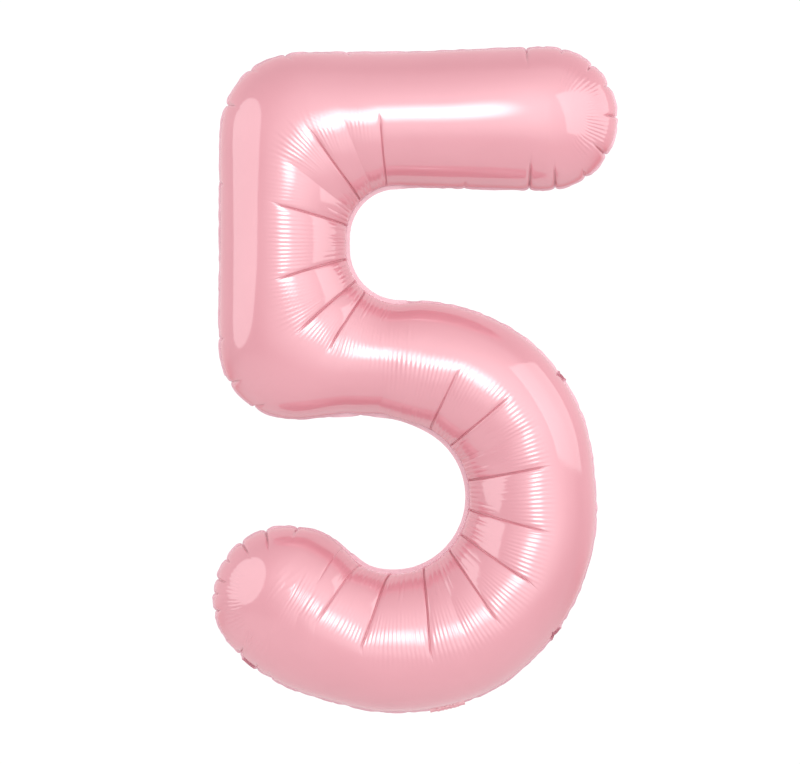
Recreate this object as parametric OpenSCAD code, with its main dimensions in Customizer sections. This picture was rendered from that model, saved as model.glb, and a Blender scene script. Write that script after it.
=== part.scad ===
// Foil number balloon, the digit 5: two metallised films sealed along their edges,
// an inflation tail folded behind the lowest bend, and a self-sealing valve in it.
// Millimetres. The digit stands in the XZ plane and its front faces -Y.
// The origin is the middle of the crease where the tail folds.

/* [Inflated size] */
// Scale of the whole digit outline, 1 is the 860 mm high balloon
digit_scale = 1; // [0.9:0.02:1.1]
// Half depth of the tube as a share of its half width
fullness = 0.94; // [0.7:0.02:1]
// How much of a corner's extra width swells its depth
corner_swell = 0.1; // [0:0.05:0.3]

/* [Film] */
// Thickness given to each film, far above the real 0.03 mm
film_t = 0.5; // [0.4:0.1:0.8]
// Width of the sealed edge where it lies flat, in the inner bends
seal_w_inner = 6; // [4:0.5:8]
// Reach of the sealed edge where it buckles, on the outer bends
seal_w_outer = 3; // [2:0.5:4]

/* [Tail] */
// Width of the inflation tail
tail_w = 46; // [44:1:50]
// Length of the tail from its crease
tail_l = 90; // [60:5:100]
// Angle that the tail is folded back from hanging straight down
tail_fold = 104; // [95:1:106]
// Radius of the ribbon hole in the tail's sealed edge
ribbon_hole_r = 2.5; // [2:0.25:2.75]

/* [Valve] */
// Width of the valve's two films
valve_w = 28; // [20:1:28]
// Length of the valve inside the balloon
valve_l = 130; // [90:5:140]
// Gap between the two valve films
valve_gap = 0.4; // [0.2:0.1:0.6]

/* [Hidden] */

FOIL = "#f2b6c1";
FOIL_BACK = "#e9aab6";
SEAL = "#f7ccd4";
VALVE = "#e8e8ea";

// Main lines of the digit's seam, in the plane of the digit
ARM_TIP = [126, 766];         // centre of the arm's round end
ARM_R = 91.5;
TOP_Z = 850;
ARM_UNDER_Z = 680;
BAY_TOP = [-66.3, 612];       // centre of the upper bay's top corner
BAY_TOP_R = [65, 68];
BAY_LOW = [-61.3, 597];       // centre of the upper bay's lower corner
BAY_LOW_R = 70;
SPINE_X = -293;
TOP_CORNER = [-194.5, 752];
TOP_CORNER_R = 98;
LOW_CORNER = [-197, 469];
LOW_CORNER_R = [97, 90];
FOOT_UNDER = [-132, 387];
EYE_ROOF = [-93.3, 258.6];    // centre of the flatter arc over the round bay in the belly
EYE_ROOF_R = 128;
EYE = [-72, 279];             // centre of the round bay in the belly
EYE_R = 99.5;
BOWL = [-66.3, 286.5];        // centre of the belly's bottom arc
BOWL_R = 284.5;
END_TIP = [-209.9, 148.8];    // centre of the lower round end
END_R = 91.6;
END_ANGLE = 172;              // direction in which the lower end points
END_SHOULDER = [-203, 138];
END_SHOULDER_R = 103;

// Stations along the stroke, the same number on both of its sides
N_CAP = 12;
N_ARM = 10;
N_BAY_TOP = 20;
N_SPINE = 2;
N_BAY_LOW = 18;
N_FOOT = 3;
ACROSS = 12;        // steps across a film, from seam to seam
SMOOTHING = 2;      // passes that round the joints between arcs
INNER_BEND = 0.15;  // a seam that bends inwards by more than this, in degrees a millimetre
FULL_HALF_W = 92;   // half width of the stroke, beyond which only corners reach

// The tail's crease lies along the belly's bottom, square to this direction from BOWL
TAIL_ANGLE = -76.7;
CREASE_GAP = 1.2;   // from the sealed edge to the crease
TAIL_START = 2.4;   // from the crease to the first of the tail, so that it can fold
PLY_Y = valve_gap / 2 + film_t;  // where the tail's outer plies begin, each way from the middle
CHANNEL_SIDE = 0.5; // room beside the valve in its channel
CHANNEL_HALF_Y = PLY_Y + 0.4;    // room for the valve to open in the neck
NECK_TOP = 12;      // reach of the neck over the seam, above the crease
BAND_T = 0.6;       // the two films of the sealed edge, fused
END_ROUND = 6;      // corner radius at the tail's open end
HOLE_UP = 12;       // from the tail's open end to the ribbon hole
CUT = 1;            // how far a cut reaches past what it cuts

function at_angle(a) = [cos(a), sin(a)];
// Points from p to q, the last one left out so that pieces join
function seg(p, q, n) = [for (k = [0:n - 1]) p + (q - p) * k / n];
// Points of an arc about c from a0 to a1 degrees, with r a radius or two half axes
function arc(c, r, a0, a1, n) = [for (k = [0:n - 1])
    let (a = a0 + (a1 - a0) * k / n, rx = is_list(r) ? r[0] : r, ry = is_list(r) ? r[1] : r)
    c + [rx * cos(a), ry * sin(a)]];

// Seam on the side of the upper bay, the outer belly and the digit's bottom
bay_side = concat(
    arc(ARM_TIP, ARM_R, 0, -90, N_CAP),
    seg(ARM_TIP - [0, ARM_R], [BAY_TOP[0], ARM_UNDER_Z], N_ARM),
    arc(BAY_TOP, BAY_TOP_R, 90, 180, N_BAY_TOP),
    seg(BAY_TOP - [BAY_TOP_R[0], 0], BAY_LOW - [BAY_LOW_R, 0], N_SPINE),
    arc(BAY_LOW, BAY_LOW_R, 180, 270, N_BAY_LOW),
    seg(BAY_LOW - [0, BAY_LOW_R], [-36, 530], N_FOOT),
    arc([-44.9, 284.9], 245.2, 88, 46, 9),
    arc([-43.7, 301], 231.5, 44, 5, 8),
    arc([-80.4, 264.3], 271, 10, -57, 16),
    arc(BOWL, BOWL_R, -62, -90, 7),
    arc(BOWL, BOWL_R, -90, -103, 4),
    arc([-112.1, 244.5], 230.3, -99, -135, 8),
    arc(END_TIP, END_R, -135, END_ANGLE - 360, N_CAP));

// Seam on the side of the digit's top, its two left corners and the inner belly
back_side = concat(
    arc(ARM_TIP, ARM_R, 0, 90, N_CAP),
    seg(ARM_TIP + [0, ARM_R], [BAY_TOP[0], TOP_Z], N_ARM),
    seg([BAY_TOP[0], TOP_Z], [TOP_CORNER[0], TOP_Z], 6),
    arc(TOP_CORNER, TOP_CORNER_R, 90, 180, 8),
    seg([SPINE_X, TOP_CORNER[1]], [SPINE_X, BAY_TOP[1]], 6),
    seg([SPINE_X, BAY_TOP[1]], [SPINE_X, BAY_LOW[1]], N_SPINE),
    seg([SPINE_X, BAY_LOW[1]], LOW_CORNER - [LOW_CORNER_R[0], 0], 5),
    arc(LOW_CORNER, LOW_CORNER_R, 180, 270, 8),
    seg(LOW_CORNER - [0, LOW_CORNER_R[1]], FOOT_UNDER, 5),
    seg(FOOT_UNDER, EYE_ROOF + EYE_ROOF_R * at_angle(96), N_FOOT),
    arc(EYE_ROOF, EYE_ROOF_R, 96, 62, 5),
    arc(EYE, EYE_R, 64, 45, 4),
    arc(EYE, EYE_R, 45, 10, 8),
    arc(EYE, EYE_R, 10, -52, 16),
    arc(EYE, EYE_R, -52, -80, 7),
    arc(EYE, EYE_R, -80, -112, 4),
    seg(EYE + EYE_R * at_angle(-112), END_SHOULDER + END_SHOULDER_R * at_angle(56), 4),
    arc(END_SHOULDER, END_SHOULDER_R, 56, 88, 4),
    arc(END_TIP, END_R, 88, END_ANGLE, N_CAP));

STATIONS = len(bay_side);
LOOP = 2 * STATIONS;
drawn_loop = concat(bay_side, [END_TIP + END_R * at_angle(END_ANGLE)],
                    [for (k = [STATIONS - 1:-1:1]) back_side[k]]);

function smooth(loop, passes) = passes == 0 ? loop :
    smooth([for (k = [0:LOOP - 1])
        (loop[(k + LOOP - 1) % LOOP] + 2 * loop[k] + loop[(k + 1) % LOOP]) / 4], passes - 1);

// The seam as one closed line, from the arm's tip round the bays to the lower end and back,
// moved so that the middle of the tail's crease is at the origin
crease = digit_scale * BOWL
       + (digit_scale * BOWL_R + seal_w_outer + CREASE_GAP) * at_angle(TAIL_ANGLE);
seam = [for (p = smooth(drawn_loop, SMOOTHING)) digit_scale * p - crease];
function chord(k) = seam[(k + 1) % LOOP] - seam[(k + LOOP - 1) % LOOP];
function outward(k) = let (d = chord(k)) [-d[1], d[0]] / norm(d);
function bend(k) = let (a = chord(k - 1 + LOOP), b = chord(k + 1))
    asin(cross(a, b) / norm(a) / norm(b)) / norm(chord(k));

// The sealed edge lies flat and wide in the inner bends, and is narrow elsewhere
reach = smooth([for (k = [0:LOOP - 1]) bend(k) > INNER_BEND ? seal_w_inner : seal_w_outer], 2);
edge = [for (k = [0:LOOP - 1]) seam[k] + reach[k] * outward(k)];

// A rib crosses the stroke at each station, from the bay side to the back side.
// Its crown is in the middle, or stays near the bays where a corner makes the rib long.
function rib_start(i) = seam[i];
function rib_end(i) = seam[LOOP - i];
function rib_half(i) = norm(rib_end(i) - rib_start(i)) / 2;
function rib_crown(i) = min(rib_half(i), digit_scale * FULL_HALF_W);
function rib_depth(i) = fullness * (rib_crown(i) + corner_swell * (rib_half(i) - rib_crown(i)));

// A point of rib i, inset by a film's thickness t, at step j from seam to seam: two quarter
// ellipses that meet on the crown
function rib_point(i, j, t) =
    let (p = rib_start(i), d = rib_end(i) - p, l = norm(d), a = 180 * j / ACROSS,
         near = rib_crown(i) - t, far = l - rib_crown(i) - t,
         s = rib_crown(i) - cos(a) * (a < 90 ? near : far),
         q = p + d / l * s)
    [q[0], -(rib_depth(i) - t) * sin(a), q[1]];
function tip_point(k, t) = let (q = seam[k] - t * outward(k)) [q[0], 0, q[1]];

// Corner numbers of the film's mesh: the outer skin, then the inner one, then the four tips
RIBS = STATIONS - 1;
ROW = ACROSS + 1;
SKIN = RIBS * ROW;
TIPS = 2 * SKIN;
function corner(skin, i, j) = skin * SKIN + i * ROW + j;
function quad(a, b, c, d) = [[a, b, c], [a, c, d]];
function flip(faces) = [for (f = faces) [f[2], f[1], f[0]]];
function skin_faces(skin) = concat(
    [for (i = [0:RIBS - 2], j = [0:ACROSS - 1]) each
        quad(corner(skin, i, j), corner(skin, i, j + 1),
             corner(skin, i + 1, j + 1), corner(skin, i + 1, j))],
    [for (j = [0:ACROSS - 1]) [TIPS + skin, corner(skin, 0, j + 1), corner(skin, 0, j)]],
    [for (j = [0:ACROSS - 1])
        [TIPS + 2 + skin, corner(skin, RIBS - 1, j), corner(skin, RIBS - 1, j + 1)]]);
// Narrow strips in the seam's plane close the film between its two skins
function rim_faces(j) = concat(
    [for (i = [0:RIBS - 2]) each
        quad(corner(1, i, j), corner(0, i, j), corner(0, i + 1, j), corner(1, i + 1, j))],
    quad(TIPS + 1, TIPS, corner(0, 0, j), corner(1, 0, j)),
    quad(corner(1, RIBS - 1, j), corner(0, RIBS - 1, j), TIPS + 2, TIPS + 3));

// One film, shaped by the gas into half a tube, with its seam in the plane y = 0
module film() {
    points = concat(
        [for (t = [0, film_t], i = [1:RIBS], j = [0:ACROSS]) rib_point(i, j, t)],
        [for (k = [0, STATIONS], t = [0, film_t]) tip_point(k, t)]);
    faces = concat(skin_faces(0), flip(skin_faces(1)), rim_faces(0), flip(rim_faces(ACROSS)));
    polyhedron(points, faces, convexity = 10);
}

// Local frame of the tail: X along the crease, Z straight into the balloon
module at_tail() rotate([0, -(TAIL_ANGLE + 90), 0]) children();

// Room that the valve passes through, between the films at the neck
module valve_channel(top) {
    at_tail() translate([-valve_w / 2 - CHANNEL_SIDE, -CHANNEL_HALF_Y, -CUT])
        cube([valve_w + 2 * CHANNEL_SIDE, 2 * CHANNEL_HALF_Y, top + CUT]);
}

module front_panel() {
    color(FOIL) difference() {
        film();
        valve_channel(NECK_TOP);
    }
}

module rear_panel() {
    color(FOIL_BACK) mirror([0, 1, 0]) difference() {
        film();
        valve_channel(NECK_TOP);
    }
}

// A flat solid in the plane of the digit, centred on the seam
module flat(t) rotate([90, 0, 0]) translate([0, 0, -t / 2]) linear_extrude(t) children();

// The fused edge all round the digit, with the open neck that the tail hangs from
module heat_seal_band() {
    neck_t = 2 * (CHANNEL_HALF_Y + film_t);
    color(SEAL) difference() {
        union() {
            flat(BAND_T) difference() {
                polygon(edge);
                polygon(seam);
            }
            flat(neck_t) difference() {
                rotate(TAIL_ANGLE + 90) translate([-tail_w / 2, 0]) square([tail_w, NECK_TOP]);
                polygon(seam);
            }
        }
        valve_channel(NECK_TOP);
    }
}

// Half of the tail, hanging straight down: a ply with a thick edge where it is sealed
module tail_ply(side) {
    margin = (tail_w - valve_w) / 2 - CHANNEL_SIDE;
    mirror([0, side > 0 ? 0 : 1, 0]) difference() {
        rotate([90, 0, 0]) mirror([0, 0, 1]) difference() {
            linear_extrude(PLY_Y + film_t) tail_outline();
            translate([-valve_w / 2 - CHANNEL_SIDE, -tail_l - CUT, -CUT])
                cube([valve_w + 2 * CHANNEL_SIDE, tail_l, PLY_Y + CUT]);
        }
        translate([(tail_w - margin) / 2, -CUT, HOLE_UP - tail_l]) rotate([-90, 0, 0])
            cylinder(h = PLY_Y + film_t + 2 * CUT, r = ribbon_hole_r, $fn = 48);
    }
}

module tail_outline() {
    translate([-tail_w / 2, END_ROUND - tail_l]) square([tail_w, tail_l - END_ROUND - TAIL_START]);
    for (side = [-1, 1]) translate([side * (tail_w / 2 - END_ROUND), END_ROUND - tail_l])
        circle(END_ROUND, $fn = 32);
    translate([END_ROUND - tail_w / 2, -tail_l]) square([tail_w - 2 * END_ROUND, END_ROUND]);
}

// The tail at rest, folded back about its crease
module folded() at_tail() rotate([tail_fold, 0, 0]) children();

module tail_front_ply() { color(FOIL) folded() tail_ply(-1); }
module tail_rear_ply() { color(FOIL_BACK) folded() tail_ply(1); }

// A film of the valve, from z0 to z1 up the middle
module valve_film(side, z0, z1) {
    translate([-valve_w / 2, side > 0 ? valve_gap / 2 : -valve_gap / 2 - film_t, z0])
        cube([valve_w, film_t, z1 - z0]);
}

module tail_valve_front_ply() { color(VALVE) folded() valve_film(-1, -tail_l, -TAIL_START); }
module tail_valve_rear_ply() { color(VALVE) folded() valve_film(1, -tail_l, -TAIL_START); }
module valve_front_ply() { color(VALVE) at_tail() valve_film(-1, 0.2, valve_l); }
module valve_rear_ply() { color(VALVE) at_tail() valve_film(1, 0.2, valve_l); }

front_panel();
rear_panel();
heat_seal_band();
tail_front_ply();
tail_rear_ply();
tail_valve_front_ply();
tail_valve_rear_ply();
valve_front_ply();
valve_rear_ply();
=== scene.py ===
"""Foil number balloon, the digit 5, in pink metallised film.

The balloon is two films sealed along their edge and blown up by gas. Each film is built as a
row of ribs across the digit's stroke. The gas rounds the ribs, and the stroke's bends leave
the film on their inner side too long, so it folds into creases there and ripples on the crown.
All is in the CAD's frame, worked out in millimetres and set in metres: the digit stands in the
XZ plane and its front faces -Y.
"""
import math

import bpy
import numpy as np
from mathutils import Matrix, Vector


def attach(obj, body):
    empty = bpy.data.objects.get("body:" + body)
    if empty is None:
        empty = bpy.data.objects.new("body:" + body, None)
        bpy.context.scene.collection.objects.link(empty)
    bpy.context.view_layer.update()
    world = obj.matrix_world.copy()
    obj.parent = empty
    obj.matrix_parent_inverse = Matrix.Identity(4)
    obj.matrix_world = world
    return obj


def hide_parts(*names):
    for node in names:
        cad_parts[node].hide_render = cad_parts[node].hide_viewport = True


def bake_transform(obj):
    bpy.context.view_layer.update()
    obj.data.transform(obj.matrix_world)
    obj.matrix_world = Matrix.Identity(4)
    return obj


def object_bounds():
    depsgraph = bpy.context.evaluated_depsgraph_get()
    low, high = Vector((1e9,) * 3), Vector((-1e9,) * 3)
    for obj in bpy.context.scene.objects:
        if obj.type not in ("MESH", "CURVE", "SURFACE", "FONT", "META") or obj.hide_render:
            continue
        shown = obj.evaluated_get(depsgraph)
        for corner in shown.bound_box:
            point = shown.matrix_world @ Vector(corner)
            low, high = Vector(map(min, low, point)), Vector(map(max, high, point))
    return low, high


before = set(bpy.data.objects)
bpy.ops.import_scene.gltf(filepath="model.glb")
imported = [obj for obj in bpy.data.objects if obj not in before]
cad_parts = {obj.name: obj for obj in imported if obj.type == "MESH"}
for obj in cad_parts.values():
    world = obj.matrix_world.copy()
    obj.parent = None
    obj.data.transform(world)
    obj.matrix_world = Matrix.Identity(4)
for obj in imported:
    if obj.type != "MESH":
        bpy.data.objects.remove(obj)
cad_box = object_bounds()
MM = 0.001

# --------------------
# The digit's seam: the CAD's own lines, in millimetres
# --------------------


def point(x, z):
    """A place in the digit's plane, or two half axes."""
    return np.array([x, z], float)


# Round stretches have a centre and a radius, or two half axes where they are a little oval.
# The other values are the height or the side on which a straight stretch lies.
ARM_TIP = point(126, 766)
ARM_R = 91.5
TOP_Z = 850
ARM_UNDER_Z = 680
BAY_TOP = point(-66.3, 612)
BAY_TOP_R = point(65, 68)
BAY_LOW = point(-61.3, 597)
BAY_LOW_R = 70
SPINE_X = -293
TOP_CORNER = point(-194.5, 752)
TOP_CORNER_R = 98
LOW_CORNER = point(-197, 469)
LOW_CORNER_R = point(97, 90)
FOOT_START = point(-36, 530)
FOOT_UNDER = point(-132, 387)
EYE_ROOF = point(-93.3, 258.6)
EYE_ROOF_R = 128
EYE = point(-72, 279)
EYE_R = 99.5
BOWL = point(-66.3, 286.5)
BOWL_R = 284.5
END_TIP = point(-209.9, 148.8)
END_R = 91.6
END_ANGLE = 172
END_SHOULDER = point(-203, 138)
END_SHOULDER_R = 103
# The outer belly's arcs: centre, radius, first and last angle, stations
BELLY_ARCS = (
    (point(-44.9, 284.9), 245.2, 88, 46, 9),
    (point(-43.7, 301), 231.5, 44, 5, 8),
    (point(-80.4, 264.3), 271, 10, -57, 16),
    (BOWL, BOWL_R, -62, -90, 7),
    (BOWL, BOWL_R, -90, -103, 4),
    (point(-112.1, 244.5), 230.3, -99, -135, 8),
)

# A station is a pair of seam points that face each other across the stroke. Each stretch has:
N_CAP = 12
N_ARM = 10
N_BAY_TOP = 20
N_SPINE = 2
N_BAY_LOW = 18
N_FOOT = 3
STATIONS = 129
LOOP = 2 * STATIONS
SMOOTHING = 2  # times the seam's corners are smoothed

FULLNESS = 0.94  # depth of a rib, as a share of a round one's
CORNER_SWELL = 0.02  # share of the left corners' extra width that adds to the depth
ARM_CAP_R = 85.5  # the arm's round end is a little less deep than wide
FULL_HALF_W = 92
# Half width of the round rib that fits the stroke, by station
ROUND_LINE = (
    (0, FULL_HALF_W), (13, 88), (22, 85), (42, 81), (46, 81), (58, 73), (66, 73), (74, 88),
    (80, FULL_HALF_W), (129, FULL_HALF_W),
)

TAIL_ANGLE = -76.7  # where the tail leaves the digit's bottom, round the bowl's centre
SEAL_W_OUTER = 3
SEAL_W_INNER = 5  # 1 mm less than the CAD's
CREASE_GAP = 1.2  # from the sealed edge down to the tail's crease


def at_angle(degrees):
    """Unit vector in the digit's plane, 0 along X and 90 upward."""
    a = np.radians(degrees)
    return np.stack([np.cos(a), np.sin(a)], axis=-1)


# The middle of the tail's crease, which is the frame's origin
CREASE = BOWL + (BOWL_R + SEAL_W_OUTER + CREASE_GAP) * at_angle(TAIL_ANGLE)


def seg(p, q, n):
    """Points from p to q, the last one left out."""
    return p + (q - p) * np.arange(n)[:, None] / n


def arc(centre, radius, first, last, n):
    """Points of an arc, the last one left out. The radius may be two half axes."""
    return centre + radius * at_angle(first + (last - first) * np.arange(n) / n)


def bay_side():
    """Seam on the side of the upper bay, the outer belly and the digit's bottom."""
    parts = [
        arc(ARM_TIP, ARM_R, 0, -90, N_CAP),
        seg(ARM_TIP - point(0, ARM_R), point(BAY_TOP[0], ARM_UNDER_Z), N_ARM),
        arc(BAY_TOP, BAY_TOP_R, 90, 180, N_BAY_TOP),
        seg(BAY_TOP - point(BAY_TOP_R[0], 0), BAY_LOW - point(BAY_LOW_R, 0), N_SPINE),
        arc(BAY_LOW, BAY_LOW_R, 180, 270, N_BAY_LOW),
        seg(BAY_LOW - point(0, BAY_LOW_R), FOOT_START, N_FOOT),
    ]
    parts += [arc(*stretch) for stretch in BELLY_ARCS]
    parts.append(arc(END_TIP, END_R, -135, END_ANGLE - 360, N_CAP))
    return np.concatenate(parts)


def back_side():
    """Seam on the side of the digit's top, its two left corners and the inner belly."""
    top_z = point(0, 1) * TOP_Z
    spine = point(1, 0) * SPINE_X
    bay_x = point(BAY_TOP[0], 0)
    corner_x = point(TOP_CORNER[0], 0)
    heights = [point(0, z) for z in (TOP_CORNER[1], BAY_TOP[1], BAY_LOW[1])]
    return np.concatenate([
        arc(ARM_TIP, ARM_R, 0, 90, N_CAP),
        seg(ARM_TIP + point(0, ARM_R), bay_x + top_z, N_ARM),
        seg(bay_x + top_z, corner_x + top_z, 6),
        arc(TOP_CORNER, TOP_CORNER_R, 90, 180, 8),
        seg(spine + heights[0], spine + heights[1], 6),
        seg(spine + heights[1], spine + heights[2], N_SPINE),
        seg(spine + heights[2], LOW_CORNER - point(LOW_CORNER_R[0], 0), 5),
        arc(LOW_CORNER, LOW_CORNER_R, 180, 270, 8),
        seg(LOW_CORNER - point(0, LOW_CORNER_R[1]), FOOT_UNDER, 5),
        seg(FOOT_UNDER, EYE_ROOF + EYE_ROOF_R * at_angle(96), N_FOOT),
        arc(EYE_ROOF, EYE_ROOF_R, 96, 62, 5),
        arc(EYE, EYE_R, 64, 45, 4),
        arc(EYE, EYE_R, 45, 10, 8),
        arc(EYE, EYE_R, 10, -52, 16),
        arc(EYE, EYE_R, -52, -80, 7),
        arc(EYE, EYE_R, -80, -112, 4),
        seg(EYE + EYE_R * at_angle(-112), END_SHOULDER + END_SHOULDER_R * at_angle(56), 4),
        arc(END_SHOULDER, END_SHOULDER_R, 56, 88, 4),
        arc(END_TIP, END_R, 88, END_ANGLE, N_CAP),
    ])


def seam_loop():
    """The seam's stations as one closed loop, smoothed as in the CAD."""
    end = END_TIP + END_R * at_angle(END_ANGLE)
    loop = np.concatenate([bay_side(), [end], back_side()[:0:-1]])
    for _ in range(SMOOTHING):
        loop = (np.roll(loop, 1, 0) + 2 * loop + np.roll(loop, -1, 0)) / 4
    return loop - CREASE


def spline_weights(loop):
    """Control points of the closed cubic B-spline that passes through the stations."""
    turn = 2 * np.pi * np.fft.fftfreq(len(loop))
    spectrum = np.fft.fft(loop, axis=0) / ((2 + np.cos(turn)) / 3)[:, None]
    return np.fft.ifft(spectrum, axis=0).real


CONTROL = spline_weights(seam_loop())


def seam_at(station):
    """Seam point at any station, whole or not, round the loop."""
    station = np.asarray(station, float)
    whole = np.floor(station).astype(int)
    f = (station - whole)[..., None]
    weights = (
        (1 - f) ** 3 / 6,
        (3 * f**3 - 6 * f**2 + 4) / 6,
        (-3 * f**3 + 3 * f**2 + 3 * f + 1) / 6,
        f**3 / 6,
    )
    return sum(w * CONTROL[(whole + k - 1) % LOOP] for k, w in enumerate(weights))


def outward_at(station):
    """The way out of the digit, in its plane, square to the seam."""
    chord = seam_at(station + 0.3) - seam_at(station - 0.3)
    out = np.stack([-chord[..., 1], chord[..., 0]], axis=-1)
    return out / np.linalg.norm(out, axis=-1, keepdims=True)


# --------------------
# Folds in the film. Stations count along the stroke from the arm's tip to the
# lower end; the bay side's seam runs 0 to 129 and the back side's 258 to 129.
# A place across the stroke is its share of the way from a seam, 1 on the crown.
# --------------------

# The stroke's two sides, named after the bends they are the inner side of, and the film's
# column on each one's seam
BAY_SIDE = 0
EYE_SIDE = 1
SEAM_COLUMN = (0, -1)

# Long creases of the upper bends, from the bay's seam over the crown:
# station at the seam, station at the crown, reach, depth in mm
BAY_CREASES = (
    (24.6, 23.6, 1.03, 1.9),
    (32.2, 30.9, 1.02, 2.2),
    (39.0, 39.3, 1.08, 2.2),
    (46.0, 46.4, 1.05, 2.4),
    (50.9, 51.9, 1.0, 2.3),
    (53.8, 55.8, 0.98, 2.3),
)
# The same round the belly, from the inner seam
EYE_CREASES = (
    (71.0, 69.8, 1.0, 1.8),
    (74.9, 74.6, 1.06, 2.2),
    (81.5, 81.3, 1.1, 2.5),
    (87.0, 86.7, 1.06, 2.2),
    (92.0, 91.3, 1.1, 2.2),
    (95.6, 95.7, 1.06, 2.2),
    (101.4, 102.3, 1.1, 2.6),
    (106.3, 108.1, 1.05, 2.2),
    (109.2, 112.0, 0.95, 1.2),
    (111.8, 113.6, 0.7, 0.9),
)
CREASES = (BAY_CREASES, EYE_CREASES)
CREASE_W = (3, 4)  # half width in mm of a crease's lips at the seam, and what it gains inward
# Stations before the first crease and after the last over which their slant comes in
SLANT_OVER = (9, 7)

# Stations between which the slack film lies straight along the stroke, and how far it still
# bulges halfway, in mm
BREAKS = (
    (24.6, 28.4, 32.2, 35.6, 39.0, 46.0, 50.9, 53.8),
    (66.0, 71.0, 74.9, 78.2, 81.5, 87.0, 92.0, 95.6, 98.5, 101.4, 106.3, 109.2, 111.8, 115.0),
)
BULGE = 1.0

# Share of the way across the stroke at which the crown lies, from the bay side, by station
CROWN_LINE = (
    (0, 0.50), (15, 0.50), (25, 0.46), (31, 0.45), (38, 0.50), (47, 0.50), (53, 0.44),
    (60, 0.50), (66, 0.53), (70, 0.50), (75, 0.47), (82, 0.455), (92, 0.41), (102, 0.45),
    (110, 0.48), (116, 0.49), (129, 0.50),
)

# Pinches of the seam, where its outer bends pucker: loop station, depth, crease length (mm).
# The seam is pulled in by PULL times the depth, along it for W mm and across the stroke for IN.
PINCH_PULL = 1.9
PINCH_W = 12
PINCH_IN = 0.45
PINCHES = (
    (244.7, 2.2, 32), (247.8, 1.2, 8), (251.5, 2.2, 16), (254.3, 2.0, 8), (257.8, 2.0, 26),
    (4.2, 2.4, 30), (7.4, 1.4, 10), (10.9, 2.2, 34), (13.1, 2.4, 46), (17.5, 0.8, 8),
    (141.6, 1.6, 12), (138.4, 2.4, 34), (135.2, 2.4, 28), (132.6, 1.6, 8), (130.1, 2.0, 22),
    (128.0, 1.4, 8), (124.8, 1.8, 8), (116.6, 2.0, 14), (114.9, 1.4, 8), (113.7, 1.2, 8),
    (223.7, 2.4, 14), (226.6, 1.2, 8), (229.2, 1.6, 8), (233.0, 1.0, 6), (206.4, 2.2, 12),
    (204.0, 1.8, 8), (209.5, 1.2, 6), (219.0, 0.8, 6), (75.6, 0.8, 6), (93.2, 0.9, 8),
)

# Stretches whose crown ripples: first and last station, the inner side, where the ripples'
# inner and outer ends lie, their pitch and their height in mm
RIPPLED = (
    (25, 33, BAY_SIDE, (0.85, 0.95), (1.20, 1.28), (4.6, 5.4), 0.33),
    (31.5, 40, BAY_SIDE, (0.84, 0.94), (1.13, 1.20), (4.5, 5.3), 0.30),
    (38.5, 56, BAY_SIDE, (0.70, 0.84), (1.11, 1.15), (4.8, 5.8), 0.31),
    (54, 68, BAY_SIDE, (0.58, 0.72), (1.07, 1.11), (5.0, 6.0), 0.50),
    (64, 118, EYE_SIDE, (0.66, 0.82), (1.11, 1.14), (5.2, 6.2), 0.33),
)
# Stretches with pleats along their inner seam: first and last station, side
PLEATED = (
    (23.5, 62.0, BAY_SIDE),
    (66.0, 112.0, EYE_SIDE),
)
PLEAT_HEIGHT = 0.8
PLEAT_PITCH = (4.4, 6.0)
PLEAT_END = (0.38, 0.62)  # where across the stroke they end

# Bunches of fine wrinkles on the round ends, fanning out from the end's centre: centre, middle
# and half width of the bunch in degrees, and of its band in radii; pitch and height in mm
FANS = (
    (ARM_TIP, 52, 24, 0.62, 0.20, 5.5, 0.22),
    (ARM_TIP, 18, 20, 0.70, 0.16, 5.0, 0.20),
    (ARM_TIP, -12, 16, 0.70, 0.20, 4.6, 0.26),
    (ARM_TIP, -38, 14, 0.66, 0.16, 5.0, 0.20),
    (END_TIP, 200, 24, 0.74, 0.14, 5.0, 0.2),
    (END_TIP, 160, 18, 0.74, 0.12, 5.0, 0.14),
    (END_TIP, 240, 18, 0.72, 0.14, 5.2, 0.16),
)
# The same on straight seams: middle loop station, half length along the seam in mm, middle and
# half width of the band across the stroke, pitch, height
WRINKLES = (
    (240.9, 14, 0.42, 0.18, 4.4, 0.2),
    (205.5, 12, 0.45, 0.18, 4.6, 0.2),
    (116.5, 14, 0.45, 0.18, 4.6, 0.2),
)

# Slow dents all over: rough length and height in mm, number of waves and about its root
DENTS = (110, 0.2, 8, 2.8)

# --------------------
# The smooth tube
# --------------------

SPACING = 1.0  # between rows on the crown, in mm, where their density is 1
ACROSS = 54  # faces across a film
CUT_ROWS = (-1.5, -0.8, -0.4, 0.4, 0.8, 1.5)  # extra rows beside each long crease, in mm
# How densely the rows lie, by station: closer on the wrinkled ends than on the smooth arm
ROW_DENSITY = (
    (0, 1.5), (12, 1.5), (13.5, 0.6), (22, 0.6), (23.5, 1), (114, 1), (117, 1.5), (129, 1.5),
)
SEAM_SHARE = 0.62  # what a length along a seam counts, against one along the crown
FINE = np.linspace(0, STATIONS, 40 * STATIONS + 1)  # stations, finely
TUBE_BLUR = 75  # steps of FINE over which the tube's depth and crown change
TAPER_FROM = 120  # length, up to an end's centre, over which the tube gets lower
TAPER = 0.095  # share of its depth that it has lost there
TAPER_STATIONS = (40, 90)  # the arm's taper ends before the first, the foot's starts after the other


def smoothstep(x, low, high):
    """0 up to low, 1 from high on, and a soft step between."""
    s = np.clip((x - low) / (high - low), 0, 1)
    return s * s * (3 - 2 * s)


def window(x, rise, fall):
    """0, then 1 from the end of the rise to the start of the fall, then 0 again."""
    return smoothstep(x, *rise) * (1 - smoothstep(x, *fall))


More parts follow.
